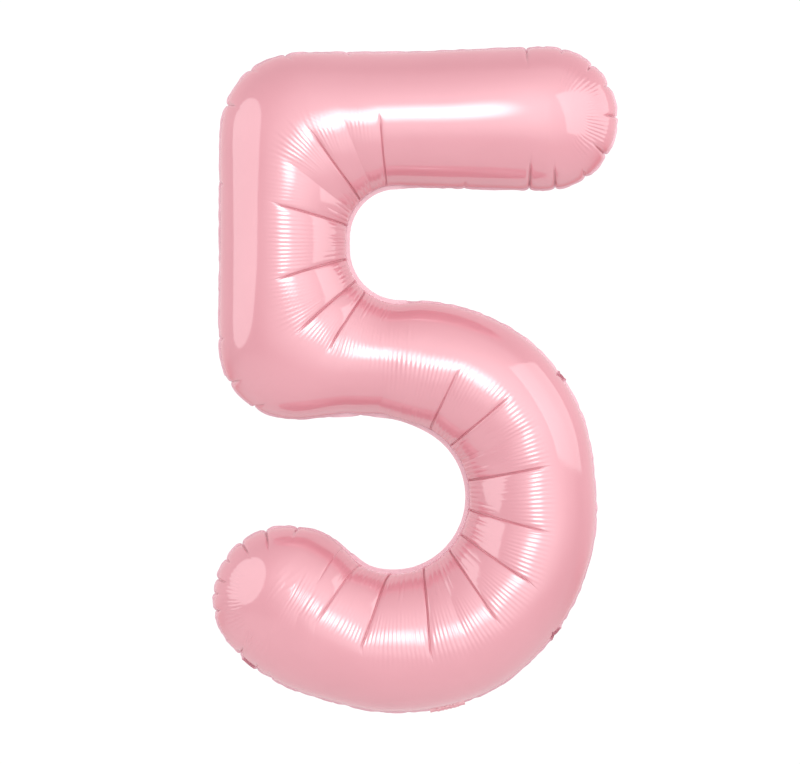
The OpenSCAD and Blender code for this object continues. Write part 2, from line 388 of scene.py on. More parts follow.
def blurred(values, width, ends="edge"):
    """A row of values smoothed by a bell of that width; ends says how they go on past the ends."""
    reach = int(3 * width)
    bell = np.exp(-0.5 * (np.arange(-reach, reach + 1) / width) ** 2)
    return np.convolve(np.pad(values, reach, mode=ends), bell / bell.sum(), "valid")


def running_length(points):
    """Length from the first row of points to each row, in each column."""
    step = np.linalg.norm(np.diff(points, axis=0), axis=-1)
    return np.concatenate([np.zeros_like(step[:1]), np.cumsum(step, axis=0)])


def cap_share(mid):
    """How far a rib's middle is past the centre of a round end, 1 at the tip, and the way there."""
    share = np.zeros(mid.shape[:-1])
    way = np.zeros(mid.shape)
    for centre, radius, angle in ((ARM_TIP, ARM_R, 0), (END_TIP, END_R, END_ANGLE)):
        axis = at_angle(angle)
        past = (mid + CREASE - centre) @ axis / radius
        near = np.linalg.norm(mid + CREASE - centre, axis=-1) < 1.1 * radius
        inside = near & (past > 0)
        share = np.where(inside, np.minimum(past, 1), share)
        way = np.where(inside[..., None], axis, way)
    return share, way


class Ribs:
    """The smooth tube under one film: any point from its station and its angle round the rib."""

    def __init__(self):
        width = np.linalg.norm(seam_at(LOOP - FINE) - seam_at(FINE), axis=-1)
        inner = np.minimum(width / 2, np.interp(FINE, *zip(*ROUND_LINE)))
        depth = FULLNESS * (inner + CORNER_SWELL * (width / 2 - inner))
        depth[FINE < N_CAP] = FULLNESS * ARM_CAP_R
        depth[FINE > STATIONS - N_CAP] = FULLNESS * END_R
        self.crown = blurred(np.interp(FINE, *zip(*CROWN_LINE)), TUBE_BLUR)
        self.depth = blurred(depth, TUBE_BLUR)

    def taper(self, station, place):
        """How much of its full depth the tube keeps, as it runs out towards its two round ends."""
        share = 1
        arm_last, foot_first = TAPER_STATIONS
        ends = (
            (ARM_TIP, 0, station > arm_last),
            (END_TIP, END_ANGLE, station < foot_first),
        )
        for centre, angle, far in ends:
            past = (place + CREASE - centre) @ at_angle(angle) + TAPER_FROM
            past = np.where(far, 0, np.maximum(past, 0))
            share = share - TAPER * (past / TAPER_FROM) ** 2
        return share

    def at(self, station, angle):
        """Points at those stations and angles, 0 on the bay side's seam and pi on the other."""
        start = seam_at(station)
        end = seam_at(LOOP - station)
        share, way = cap_share((start + end) / 2)
        crown = np.interp(station, FINE, self.crown)
        depth = np.interp(station, FINE, self.depth)
        sine = np.sin(angle)
        across = 0.5 - 0.5 * np.cos(angle) + (crown - 0.5) * sine**2
        flat = start + (end - start) * across[..., None]
        flat = flat - way * (share * ARM_R / 2 * sine**2)[..., None]
        height = depth * self.taper(station, flat) * sine * np.sqrt(1 - share**2 * sine**2 / 4)
        return np.stack([flat[..., 0], -height, flat[..., 1]], axis=-1)


RIBS = Ribs()


def row_stations():
    """Stations of the mesh's rows: evenly spaced, with each long crease exactly on a row."""
    seams = [seam_at(FINE), seam_at(LOOP - FINE)]
    crown = RIBS.at(FINE, np.full(len(FINE), np.pi / 2))[:, [0, 2]]
    steps = [SEAM_SHARE * np.linalg.norm(np.diff(seam, axis=0), axis=1) for seam in seams]
    steps.append(np.linalg.norm(np.diff(crown, axis=0), axis=1))
    density = np.interp(FINE, *zip(*ROW_DENSITY))[1:]
    length = np.concatenate([[0], np.cumsum(np.max(steps, axis=0) * density)])
    rows = np.interp(np.linspace(0, length[-1], int(length[-1] / SPACING)), length, FINE)
    added = []
    for station, _, _, _ in BAY_CREASES + EYE_CREASES:
        rows[np.abs(rows - station).argmin()] = station
        place = np.interp(station, FINE, length) + np.array(CUT_ROWS)
        added.extend(np.interp(place, length, FINE))
    return np.unique(np.concatenate([rows, added]))


ROWS = row_stations()
ANGLES = np.linspace(0, np.pi, ACROSS + 1)
CROWN_LENGTH = running_length(RIBS.at(ROWS, np.full(len(ROWS), np.pi / 2)))


def slant(creases, station):
    """How far the creases have drifted along the stroke by the crown, at any station."""
    before, after = SLANT_OVER
    knots = [creases[0][0] - before, *(c[0] for c in creases), creases[-1][0] + after]
    drift = [0, *(c[1] - c[0] for c in creases), 0]
    return np.interp(station, knots, drift)


def tent(inward):
    """0 at either seam and 1 on the crown."""
    return np.where(inward < 1, inward, 2 - inward)


def warped_stations(station, inward):
    """Stations that follow the creases' slant, so that each crease lies along one row."""
    drift = slant(BAY_CREASES, station) + slant(EYE_CREASES, station)
    return station + drift * tent(inward)


def crown_place(points):
    """Length along the crown of the spot square to each point, so that ripples cross it squarely."""
    crown = points[:, points.shape[1] // 2]
    tangent = np.gradient(crown, axis=0)
    tangent /= np.linalg.norm(tangent, axis=1, keepdims=True)
    offset = np.einsum("ijk,ik->ij", points - crown[:, None], tangent)
    return running_length(crown)[:, None] + offset


def normals_of(points):
    """The film's normals, which face the front."""
    normal = np.cross(np.gradient(points, axis=0), np.gradient(points, axis=1))
    normal /= np.linalg.norm(normal, axis=-1, keepdims=True) + 1e-9
    return normal * np.where(normal[..., 1:2] > 0, -1, 1)


class SmoothFilm:
    """One film before its folds: points in mm, rows along the stroke and columns across it.

    inward is each point's share of the way from either side's seam to the crown, round the
    points of the tube itself, bulge what a straight stretch still swells, along the length
    along the stroke in each column, and place the length along the crown.
    """

    def __init__(self):
        self.rows = ROWS[:, None]
        self.angles = np.broadcast_to(ANGLES, (len(ROWS), len(ANGLES)))
        from_bay = self.angles / (np.pi / 2)
        self.inward = (from_bay, 2 - from_bay)
        stations = np.clip(warped_stations(self.rows, from_bay), 0, STATIONS)
        self.round = RIBS.at(stations, self.angles)
        self.points = self.round
        self.bulge = 0
        for side in (BAY_SIDE, EYE_SIDE):
            straight, share = self.straightened(BREAKS[side])
            weight = window(self.inward[side], (0.03, 0.22), (0.85, 1.3))[..., None]
            self.points = self.points + (straight - self.round) * weight
            self.bulge = self.bulge + BULGE * 4 * share * (1 - share) * weight[..., 0]
        self.normal = normals_of(self.points)
        self.along = running_length(self.points)
        self.place = crown_place(self.round)

    def straightened(self, breaks):
        """The film as straight lengths of pipe between breaks, and each row's share of its length."""
        knots = np.asarray(breaks, float)
        inside = (ROWS >= knots[0]) & (ROWS < knots[-1])
        index = np.clip(np.searchsorted(knots, ROWS, side="right") - 1, 0, len(knots) - 2)
        place = np.interp(knots, ROWS, CROWN_LENGTH)
        share = (CROWN_LENGTH - place[index]) / (place[index + 1] - place[index])
        share = np.clip(share, 0, 1)[:, None]
        ends = []
        for knot in (knots[index], knots[index + 1]):
            stations = warped_stations(knot[:, None], self.inward[BAY_SIDE])
            ends.append(RIBS.at(stations, self.angles))
        straight = ends[0] * (1 - share[..., None]) + ends[1] * share[..., None]
        straight = np.where(inside[:, None, None], straight, self.round)
        return straight, share * inside[:, None]


SMOOTH = SmoothFilm()

# --------------------
# Folds. Each function gives the height in mm that it adds to the smooth film.
# --------------------


def nearest_row(station):
    """The row at that station along the stroke."""
    return np.abs(ROWS - station).argmin()


def seam_spot(station):
    """Side, row and column at a loop station."""
    side = BAY_SIDE if station < STATIONS else EYE_SIDE
    row = nearest_row(station if side == BAY_SIDE else LOOP - station)
    return side, row, SEAM_COLUMN[side]


def valley(distance, width):
    """1 in the bottom of a crease, whose two sides are rounded lips."""
    return (1 - np.minimum(np.abs(distance) / width, 1) ** 0.6) ** 2


def sharp_cut(distance, width):
    """The sharp bottom of a crease."""
    return 0.8 * np.maximum(1 - np.abs(distance) / width, 0)


def long_creases():
    """The long creases, sharp between two rounded lips."""
    height = 0
    for side in (BAY_SIDE, EYE_SIDE):
        inward = SMOOTH.inward[side]
        lip_width = CREASE_W[0] + CREASE_W[1] * smoothstep(inward, 0, 0.5)
        for station, _, reach, depth in CREASES[side]:
            distance = SMOOTH.along - SMOOTH.along[nearest_row(station)]
            strength = window(inward, (0, 0.08), (reach - 0.12, reach + 0.03))
            lips = 0.6 * valley(distance, lip_width)
            height = height - depth * strength * (lips + sharp_cut(distance, 1.5))
    return height


def humps_along(place, pitch, rng):
    """Waves of slightly uneven pitch: height from 0 to 1, and number, at each length."""
    edges = np.cumsum(rng.uniform(*pitch, int(place.max() / pitch[0]) + 20)) - 60
    number = np.clip(np.searchsorted(edges, place, side="right") - 1, 0, len(edges) - 2)
    share = (place - edges[number]) / (edges[number + 1] - edges[number])
    return 0.5 - 0.5 * np.cos(2 * np.pi * share), number


def each_hump(number, low, high, rng):
    """A random value for each hump, at each of its points."""
    return rng.uniform(low, high, number.max() + 1)[number]


def stretch_of_rows(first, last):
    """1 between two stations, with soft ends."""
    return window(SMOOTH.rows, (first, first + 1.5), (last - 2, last))


def crown_ripples(rng):
    """Fine ripples over the crown, whose ends are uneven."""
    height = 0
    for first, last, side, inner_range, outer_range, pitch, top in RIPPLED:
        humps, number = humps_along(SMOOTH.place, pitch, rng)
        size = each_hump(number, 0.8, 1.15, rng)
        inner_end = each_hump(number, *inner_range, rng)
        outer_end = each_hump(number, *outer_range, rng)
        rise = (inner_end - 0.15, inner_end + 0.12)
        fall = (outer_end - 0.08, outer_end + 0.05)
        reach = window(SMOOTH.inward[side], rise, fall)
        height = height + top * size * stretch_of_rows(first, last) * reach * humps
    return height


def seam_pleats(rng):
    """Fine pleats that start at the inner seam."""
    height = 0
    for first, last, side in PLEATED:
        place = SMOOTH.along[:, SEAM_COLUMN[side], None]
        humps, number = humps_along(place, PLEAT_PITCH, rng)
        size = each_hump(number, 0.5, 1.2, rng)
        end = each_hump(number, *PLEAT_END, rng)
        reach = window(SMOOTH.inward[side], (0.09, 0.2), (end - 0.12, end))
        profile = np.sqrt(humps) - 0.5
        height = height + PLEAT_HEIGHT * size * stretch_of_rows(first, last) * reach * profile
    return height


def plan_reach(length):
    """Share of the way to the crown that covers that plan length from the seam."""
    return np.degrees(np.arccos(1 - min(length, FULL_HALF_W - 2) / FULL_HALF_W)) / 90


def seam_pinches():
    """The pinches' height, and how far they pull the film sideways, into the digit."""
    height = 0
    sideways = 0
    for station, depth, length in PINCHES:
        side, row, column = seam_spot(station)
        inward = SMOOTH.inward[side]
        distance = SMOOTH.along - SMOOTH.along[row]
        pulled = valley(distance[:, column, None], PINCH_W)
        pulled = pulled * np.clip(1 - inward / PINCH_IN, 0, 1) ** 2
        sideways = sideways - depth * PINCH_PULL * pulled[..., None] * outward_at(station)
        end = plan_reach(length)
        strength = window(inward, (0, 0.06), (end * 0.5, end))
        fold = 1.5 * valley(distance, 8 - 3.5 * inward) + sharp_cut(distance, 1.6)
        height = height - depth * strength * fold
    return height, sideways


def end_fans():
    """The round ends' fine wrinkles."""
    height = 0
    for centre, middle, half, ring, half_ring, pitch, size in FANS:
        arm = SMOOTH.points[..., [0, 2]] + CREASE - centre
        radius = np.linalg.norm(arm, axis=-1)
        bearing = np.degrees(np.arctan2(arm[..., 1], arm[..., 0]))
        turn = np.radians((bearing - middle + 180) % 360 - 180)
        bunch = 1 - smoothstep(np.abs(turn), np.radians(half * 0.6), np.radians(half))
        strip = 1 - smoothstep(np.abs(radius / ARM_R - ring), half_ring * 0.5, half_ring)
        wave = np.cos(2 * np.pi * turn * ARM_R * ring / pitch)
        height = height + size * bunch * strip * wave
    return height


def seam_wrinkles():
    """The straight seams' fine wrinkles."""
    height = 0
    for station, half, middle, half_band, pitch, size in WRINKLES:
        side, row, column = seam_spot(station)
        place = (SMOOTH.along[:, column] - SMOOTH.along[row, column])[:, None]
        bunch = 1 - smoothstep(np.abs(place), half * 0.7, half)
        strip = 1 - smoothstep(np.abs(SMOOTH.inward[side] - middle), half_band * 0.5, half_band)
        height = height + size * bunch * strip * np.cos(2 * np.pi * place / pitch)
    return height


def slow_dents(rng):
    """Long waves that cross in random directions, none at the seams."""
    size, height, number, sum_height = DENTS
    total = 0
    for _ in range(number):
        way = rng.normal(size=3)
        way *= 2 * np.pi / size / np.linalg.norm(way) * rng.uniform(0.6, 1.5)
        total = total + np.sin(SMOOTH.round @ way + rng.uniform(0, 2 * np.pi))
    return total * height / sum_height * np.sin(SMOOTH.angles) ** 0.5


def film(seed):
    """One film with all its folds, as points in mm on the front side."""
    rng = np.random.default_rng(seed)
    height = SMOOTH.bulge + long_creases()
    height = height + crown_ripples(rng)
    height = height + seam_pleats(rng)
    pinched, sideways = seam_pinches()
    height = height + pinched + end_fans() + seam_wrinkles()
    height = height + slow_dents(rng)
    height = height * smoothstep(tent(SMOOTH.inward[BAY_SIDE]), 0, 0.05)
    points = SMOOTH.points + SMOOTH.normal * height[..., None]
    points[..., [0, 2]] += sideways
    points[:, SEAM_COLUMN, 1] = 0
    for row in (0, -1):
        points[row] = (points[row] + points[row, ::-1]) / 2
    return points


# --------------------
# Meshes
# --------------------


def mesh_object(name, vertices, faces, material):
    """A smooth mesh from vertices in mm, without those that no face uses."""
    used, corners = np.unique(faces, return_inverse=True)
    vertices = vertices.reshape(-1, 3)[used]
    mesh = bpy.data.meshes.new(name)
    mesh.from_pydata((vertices * MM).tolist(), [], corners.reshape(faces.shape).tolist())
    mesh.polygons.foreach_set("use_smooth", [True] * len(mesh.polygons))
    mesh.materials.append(material)
    mesh.validate()
    obj = bpy.data.objects.new(name, mesh)
    bpy.context.scene.collection.objects.link(obj)
    return obj


def vertex_numbers(points):
    """The numbers of a grid's vertices, row by row."""
    rows, columns = points.shape[:2]
    return np.arange(rows * columns).reshape(rows, columns)


def faces_between(rows, next_rows):
    """Four-sided faces between each row of vertex numbers and the next."""
    corners = (rows[:, :-1], rows[:, 1:], next_rows[:, 1:], next_rows[:, :-1])
    return np.stack([corner.ravel() for corner in corners], axis=1)


def grid_faces(number, flip):
    """The faces of a grid of vertex numbers, turned over where flip is true."""
    faces = faces_between(number[:-1], number[1:])
    return faces[:, ::-1] if flip else faces


def closed_film(name, points, flip):
    """A film's grid, whose first and last ribs are folded shut along the middle."""
    number = vertex_numbers(points)
    half = points.shape[1] // 2
    for row in (0, -1):
        number[row, half + 1:] = number[row, :half][::-1]
    return mesh_object(name, points, grid_faces(number, flip), FOIL)


# --------------------
# Materials
# --------------------

PINK = (0.706, 0.252, 0.309, 1)
PINK_DEEP = (0.676, 0.228, 0.284, 1)
# The sealed edge's pinks are paler than the film's. This is painted sheen: it stands in for the light
# that the flat edge reflects.
SEAL_PINK_PAINTED_SHEEN = (0.74, 0.44, 0.51, 1)
SEAL_DEEP_PAINTED_SHEEN = (0.68, 0.36, 0.43, 1)
VALVE_CLEAR = (0.80, 0.80, 0.82, 1)
VALVE_MILKY = (0.72, 0.72, 0.74, 1)


def node_material(name):
    """A new material with its nodes, its links and its shader."""
    material = bpy.data.materials.new(name)
    material.use_nodes = True
    tree = material.node_tree
    return material, tree.nodes, tree.links, tree.nodes["Principled BSDF"]


def noise(nodes, links, scale, detail, coordinates):
    """A noise of about that many clouds a metre."""
    texture = nodes.new("ShaderNodeTexNoise")
    texture.inputs["Scale"].default_value = scale
    texture.inputs["Detail"].default_value = detail
    links.new(coordinates, texture.inputs["Vector"])
    return texture.outputs["Fac"]


def ramp(nodes, links, source, low, high, stops=(0.3, 0.7)):
    """A colour from low to high as the source goes from one stop to the other."""
    node = nodes.new("ShaderNodeValToRGB")
    for element, place, colour in zip(node.color_ramp.elements, stops, (low, high)):
        element.position = place
        element.color = colour
    links.new(source, node.inputs["Fac"])
    return node.outputs["Color"]


def grain(nodes, links, shader, height, strength, distance):
    """Fine bumps in the surface; gives their normal."""
    bump = nodes.new("ShaderNodeBump")
    bump.inputs["Strength"].default_value = strength
    bump.inputs["Distance"].default_value = distance
    links.new(height, bump.inputs["Height"])
    links.new(bump.outputs["Normal"], shader.inputs["Normal"])
    return bump.outputs["Normal"]


def foil_material(name, light, deep, skin_ior):
    """Metallised film printed pastel: a soft metal sheen under a clear glossy skin."""
    material, nodes, links, shader = node_material(name)
    place = nodes.new("ShaderNodeTexCoord").outputs["Object"]
    cloud = noise(nodes, links, 9, 3, place)
    links.new(ramp(nodes, links, cloud, deep, light), shader.inputs["Base Color"])
    gloss = nodes.new("ShaderNodeMapRange")
    gloss.inputs["To Min"].default_value = 0.56
    gloss.inputs["To Max"].default_value = 0.64
    links.new(noise(nodes, links, 30, 2, place), gloss.inputs["Value"])
    links.new(gloss.outputs["Result"], shader.inputs["Roughness"])
    shader.inputs["Metallic"].default_value = 0.25
    shader.inputs["IOR"].default_value = 2.2
    shader.inputs["Coat Weight"].default_value = 1.0
    shader.inputs["Coat Roughness"].default_value = 0.075
    shader.inputs["Coat IOR"].default_value = skin_ior
    normal = grain(nodes, links, shader, noise(nodes, links, 220, 2, place), 0.06, 0.0004)
    links.new(normal, shader.inputs["Coat Normal"])
    return material


def valve_material():
    """Clear plastic film, a little milky."""
    material, nodes, links, shader = node_material("valve_film")
    place = nodes.new("ShaderNodeTexCoord").outputs["Object"]
    haze = ramp(nodes, links, noise(nodes, links, 60, 2, place), VALVE_MILKY, VALVE_CLEAR)
    links.new(haze, shader.inputs["Base Color"])
    shader.inputs["Roughness"].default_value = 0.18
    shader.inputs["IOR"].default_value = 1.5
    shader.inputs["Alpha"].default_value = 0.55
    grain(nodes, links, shader, noise(nodes, links, 90, 2, place), 0.2, 0.0005)
    return material


FOIL = foil_material("pink_foil", PINK, PINK_DEEP, 2.3)
# The sealed edge's foil: its paler base colour is painted sheen, under a less reflective skin
SEAL_FOIL_PAINTED_SHEEN = foil_material("sealed_foil_painted_sheen", SEAL_PINK_PAINTED_SHEEN, SEAL_DEEP_PAINTED_SHEEN, 1.5)
VALVE = valve_material()

# --------------------
# The two films
# --------------------

front_points = film(5)
rear_points = film(11)
rear_points[:, SEAM_COLUMN] = front_points[:, SEAM_COLUMN]  # both end on the same seam
rear_points[..., 1] *= -1

front_film = closed_film("front_film", front_points, False)
rear_film = closed_film("rear_film", rear_points, True)
for piece, node, slot in (
    (front_film, "front_panel", "foil_front"),
    (rear_film, "rear_panel", "foil_rear"),
):
    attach(piece, "envelope")
    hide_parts(node)

# --------------------
# The sealed edge, flat in the inner bends and buckled elsewhere
# --------------------

# Short stretches where the edge is turned up over the front: loop station, half length (mm)
TURNED_UP = ((93.1, 10), (115.6, 10), (75.8, 7))
TURN_UP = 1.25  # their tilt, in radians
TURN_UP_W = 2.0  # and how much wider they are
EDGE_TILT = -0.95  # how the edge leans back round the outer bends
EDGE_WAVE = 0.45  # and the waves in that
EDGE_COLUMNS = 5


def seam_line():
    """The films' common edge as one closed line, with the loop station of each point."""
    line = np.concatenate([front_points[:, 0], front_points[-2:0:-1, -1]])[:, [0, 2]]
    station = np.concatenate([ROWS, LOOP - ROWS[-2:0:-1]])
    return line, station


def edge_profile(station, along, out):
    """The edge's width and its tilt out of the digit's plane, at each point of the seam."""
    rng = np.random.default_rng(41)
    turn = np.unwrap(np.arctan2(out[:, 1], out[:, 0]))
    bend = blurred(-np.gradient(turn) / np.gradient(along), 8, "wrap")
    inner = smoothstep(-bend, 0.001, 0.004)
    width = SEAL_W_OUTER + (SEAL_W_INNER - SEAL_W_OUTER) * inner
    width = blurred(width, 6, "wrap")
    wave = blurred(rng.normal(size=len(along)), 2.5, "wrap")
    wave = np.clip(wave / np.abs(wave).max() * 2.2, -1, 1)
    tilt = (wave * EDGE_WAVE + EDGE_TILT) * (1 - inner)
    for middle, half_length in TURNED_UP:
        place = along[np.abs(station - middle).argmin()]
        near = 1 - smoothstep(np.abs(along - place), half_length - 3, half_length + 3)
        tilt = tilt * (1 - near) + TURN_UP * near
        width = width + TURN_UP_W * near
    return width, tilt


def sealed_edge():
    """The edge with its length and its area."""
    line, station = seam_line()
    out = outward_at(station)
    step = np.linalg.norm(np.roll(line, -1, 0) - line, axis=1)
    along = np.concatenate([[0], np.cumsum(step)[:-1]])
    width, tilt = edge_profile(station, along, out)
    points = np.zeros((len(line), EDGE_COLUMNS, 3))
    points[:, 0, [0, 2]] = line
    advance = width / (EDGE_COLUMNS - 1)
    for column in range(1, EDGE_COLUMNS):
        lean = tilt * (0.4 + 0.6 * (column - 0.5) / (EDGE_COLUMNS - 1))
        points[:, column] = points[:, column - 1]
        points[:, column, [0, 2]] += (advance * np.cos(lean))[:, None] * out
        points[:, column, 1] -= advance * np.sin(lean)
    number = vertex_numbers(points)
    faces = faces_between(number, np.roll(number, -1, 0))[:, [0, 3, 2, 1]]
    return mesh_object("sealed_edge", points, faces, SEAL_FOIL_PAINTED_SHEEN), step.sum(), (width * step).sum()


sealed, edge_length, edge_area = sealed_edge()
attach(sealed, "envelope")
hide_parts("heat_seal_band")

# --------------------
# The tail: two films sealed at their sides, folded behind the digit
# --------------------

TAIL_W = 46
TAIL_L = 90
TAIL_STEP = 1.0  # between the points of its mesh
TAIL_FOLD = 104  # degrees from straight on to folded back, as at rest
BEND_R = 1.8  # of the films at the crease
HOLE_R = 2.5
HOLE_X = 18.75
HOLE_UP = 12  # from the tail's open end to the ribbon's hole
HOLE_L = TAIL_L - HOLE_UP
END_ROUND = 6
NECK_IN = 9  # length of the tail's films inside the seam
VALVE_W = 28
VALVE_L = 130  # from the crease up to its end inside the balloon
VALVE_GAP = 5.0  # from the crease up to the valve's part inside the balloon
VALVE_BELOW = (2.6, TAIL_L - 0.5)  # where its part in the tail begins and ends
VALVE_OFF = 0.35  # of each valve film from the middle plane
LEAN = math.radians(TAIL_ANGLE + 90)  # of the tail's frame in the digit's


def to_frame(local):
    """From the tail's frame, X along the crease and Z into the balloon, to the digit's."""
    x, y, z = local[..., 0], local[..., 1], local[..., 2]
    return np.stack([
        x * math.cos(LEAN) - z * math.sin(LEAN),
        y,
        x * math.sin(LEAN) + z * math.cos(LEAN),
    ], axis=-1)


def along_tail(x, length, off):
    """Point of the tail, length below its crease and off its middle plane, folded as at rest."""
    fold = math.radians(TAIL_FOLD)
    start = BEND_R * math.tan(fold / 2)
    turn = np.clip((length + start) / BEND_R, 0, fold)
    after = np.maximum(length + start - BEND_R * fold, 0)
    before = np.minimum(length + start, 0)
    y = BEND_R * (1 - np.cos(turn)) + after * math.sin(fold)
    z = start - before - BEND_R * np.sin(turn) - after * math.cos(fold)
    y = y + off * np.cos(turn)
    z = z + off * np.sin(turn)
    return to_frame(np.stack([x, y, z], axis=-1))


def tail_grid():
    """Places on a tail film: X along the crease, and length below it, with rounded corners."""
    xs = np.linspace(-TAIL_W / 2, TAIL_W / 2, int(TAIL_W / TAIL_STEP) + 1)
    lengths = np.linspace(-NECK_IN, TAIL_L, int((TAIL_L + NECK_IN) / TAIL_STEP) + 1)
    x, length = np.meshgrid(xs, lengths)
    corner = np.maximum(length - (TAIL_L - END_ROUND), 0)
    narrow = END_ROUND - np.sqrt(np.maximum(END_ROUND**2 - corner**2, 0))
    return x * (TAIL_W / 2 - narrow) / (TAIL_W / 2), length


def from_hole(x, length):
    """Distance from the ribbon hole's centre."""
    return np.hypot(x - HOLE_X, length - HOLE_L)


def onto_rim(x, length):
    """The same places, those near the ribbon hole's rim moved onto it."""
    distance = from_hole(x, length)
    near = np.abs(distance - HOLE_R) < 0.55 * TAIL_STEP
    scale = np.where(near, HOLE_R / np.maximum(distance, 1e-6), 1)
    return HOLE_X + (x - HOLE_X) * scale, HOLE_L + (length - HOLE_L) * scale


def tail_off(x, length, side, phase):
    """How far a film lies off the tail's middle: parted over the valve, gathered at the crease."""
    channel = 1 - smoothstep(np.abs(x), VALVE_W / 2 - 0.5, VALVE_W / 2 + 1.5)
    gather = 0.35 * np.exp(-(((length - 2) / 16) ** 2)) * channel
    folds = np.sin(x * 2 * np.pi / 5.2 + phase) + 0.6 * np.sin(x * 2 * np.pi / 3.4)
    crimp = 0.05 * np.sin(length * 2 * np.pi / 1.6) * (1 - channel)
    sway = 0.5 * np.sin(length / 17 + 1.2) + 0.35 * np.sin(length / 9 + x / 14)
    return side * (0.12 + 0.85 * channel + gather * folds) + sway * smoothstep(length, 6, 30) + crimp


def tail_ply(name, side, phase):
    """One film of the tail, from inside the seam to the open end, with the ribbon's hole."""
    x, length = onto_rim(*tail_grid())
    points = along_tail(x, length, tail_off(x, length, side, phase))
    faces = grid_faces(vertex_numbers(points), side > 0)
    outside = from_hole(x, length).ravel()[faces].mean(axis=1) > HOLE_R * 0.93
    piece = mesh_object(name, points, faces[outside], FOIL)
    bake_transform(piece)
    return piece


for name, side, phase, node, slot in (
    ("tail_front_film", -1, 3, "tail_front_ply", "foil_front"),
    ("tail_rear_film", 1, 4, "tail_rear_ply", "foil_rear"),
):
    ply = tail_ply(name, side, phase)
    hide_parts(node)

# --------------------
# The valve: two clear films, each split at the tail's crease
# --------------------


def valve_piece(name, side, first, last, body, node):
    """One clear film of the valve, from first to last below the crease, slightly rippled."""
    xs = np.linspace(-VALVE_W / 2, VALVE_W / 2, 29)
    lengths = np.linspace(first, last, int(abs(last - first) / 1.5) + 1)
    x, length = np.meshgrid(xs, lengths)
    inside = smoothstep(-length, 10, 60)
    ripple = 0.12 * np.sin(length / 6 + x / 9) + 0.5 * inside * (1 - np.cos(length / 30))
    off = side * (VALVE_OFF + ripple * (0.2 + 0.8 * inside))
    if last > 0:
        points = along_tail(x, length, off)
    else:
        points = to_frame(np.stack([x, off, -length], axis=-1))
    piece = mesh_object(name, points, grid_faces(vertex_numbers(points), side > 0), VALVE)
    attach(piece, body)
    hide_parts(node)


for side, word in ((-1, "front"), (1, "rear")):
    valve_piece(f"tail_valve_{word}_film", side, *VALVE_BELOW, "tail", f"tail_valve_{word}_ply")
    valve_piece(f"valve_{word}_film", side, -VALVE_L, -VALVE_GAP, f"valve_{word}", f"valve_{word}_ply")

# --------------------
# Stage, light and camera
# --------------------

low, high = cad_box
# What the camera and the softboxes face, and how far that is from the middle of the CAD's box
AIM_OFF = (-0.0195, -0.003)
AIM = np.array([(low.x + high.x) / 2 + AIM_OFF[0], 0, (low.z + high.z) / 2 + AIM_OFF[1]])
CAMERA_AWAY = 5.0
VIEW_WIDTH = 1.0303  # of what the camera sees in the seam's plane
SENSOR = 36.0  # mm
FLOOR_R = 3.0
FLOOR_PLAIN = 0.3  # share of its radius within which it is opaque
FLOOR_DROP = 0.5  # of the floor below the object
FLOOR_TONES = ((0.88, 0.88, 0.88, 1), (0.92, 0.92, 0.92, 1))
# The room's colour on the camera's side, behind the object, and behind and below it
ROOM_FRONT = (0.68, 0.64, 0.65, 1)
ROOM_BACK = (1.0, 0.80, 0.83, 1)
ROOM_UNDER = (0.62, 0.08, 0.10, 1)
WHITE = (1, 1, 1, 1)
WHITE_LEVEL = 1.05  # of the white that the camera sees behind the object
# Parts of a direction between which the backdrop comes in, rises from dark to bright, and the
# lamps go out
BACKDROP_FROM = (0.0, 0.7)
RISE_FROM = (-0.6, 0.0)
LAMPS_TO = (-0.3, 0)
# The key light and the wide glow round it: the middle's X and Z in the direction from the
# object, how far the light reaches in X and Z, and its radiance
LAMPS = (
    ((0, 0.2), (0.28, 0.30), 4.6),
    ((0.22, 0.2), (1.0, 1.08), 1.15),
)
# Softboxes: name, shape, azimuth and elevation in degrees, distance, width, height, radiance
SOFTBOXES = (
    ("right_box", "RECTANGLE", 75, 21, 1.15, 1.2, 0.92, 0.8),
    ("left_box", "ELLIPSE", -72, 14, 3.0, 3.0, 3.1, 0.66),
)


def band(nodes, links, value, low_high, to):
    """A soft step from to[0] to to[1] as the value goes from low to high."""
    step = nodes.new("ShaderNodeMapRange")
    step.interpolation_type = "SMOOTHSTEP"
    for name, number in zip(("From Min", "From Max", "To Min", "To Max"), (*low_high, *to)):
        step.inputs[name].default_value = number
    links.new(value, step.inputs["Value"])
    return step.outputs["Result"]


def feed(links, value, socket):
    """Links an output to a socket, or sets a plain value on it."""
    if isinstance(value, bpy.types.NodeSocket):
        links.new(value, socket)
    else:
        socket.default_value = value


def product(nodes, links, first, second):
    """Two numbers, multiplied."""
    node = nodes.new("ShaderNodeMath")
    node.operation = "MULTIPLY"
    feed(links, first, node.inputs[0])
    feed(links, second, node.inputs[1])
    return node.outputs["Value"]


def vector_math(nodes, links, operation, first, second=(0, 0, 0)):
    """A vector operation on two vectors, or on the first alone; a length is a plain number."""
    node = nodes.new("ShaderNodeVectorMath")
    node.operation = operation
    feed(links, first, node.inputs[0])
    feed(links, second, node.inputs[1])
    return node.outputs["Value" if operation == "LENGTH" else "Vector"]


def mixed_colour(nodes, links, share, none, full):
    """One colour where the share is 0, the other where it is 1."""
    node = nodes.new("ShaderNodeMix")
    node.data_type = "RGBA"
    sockets = {socket.identifier: socket for socket in (*node.inputs, *node.outputs)}
    links.new(share, node.inputs["Factor"])
    feed(links, none, sockets["A_Color"])
    feed(links, full, sockets["B_Color"])
    return sockets["Result_Color"]


def lamp(nodes, links, direction, centre, reach, radiance):
    """Light round one direction, which fades out evenly to its reach."""
    offset = vector_math(nodes, links, "SUBTRACT", direction, (centre[0], 0, centre[1]))
    spread = vector_math(nodes, links, "MULTIPLY", offset, (1 / reach[0], 0, 1 / reach[1]))
    radius = vector_math(nodes, links, "LENGTH", spread)
    return band(nodes, links, radius, (0, 1), (radiance, 0))


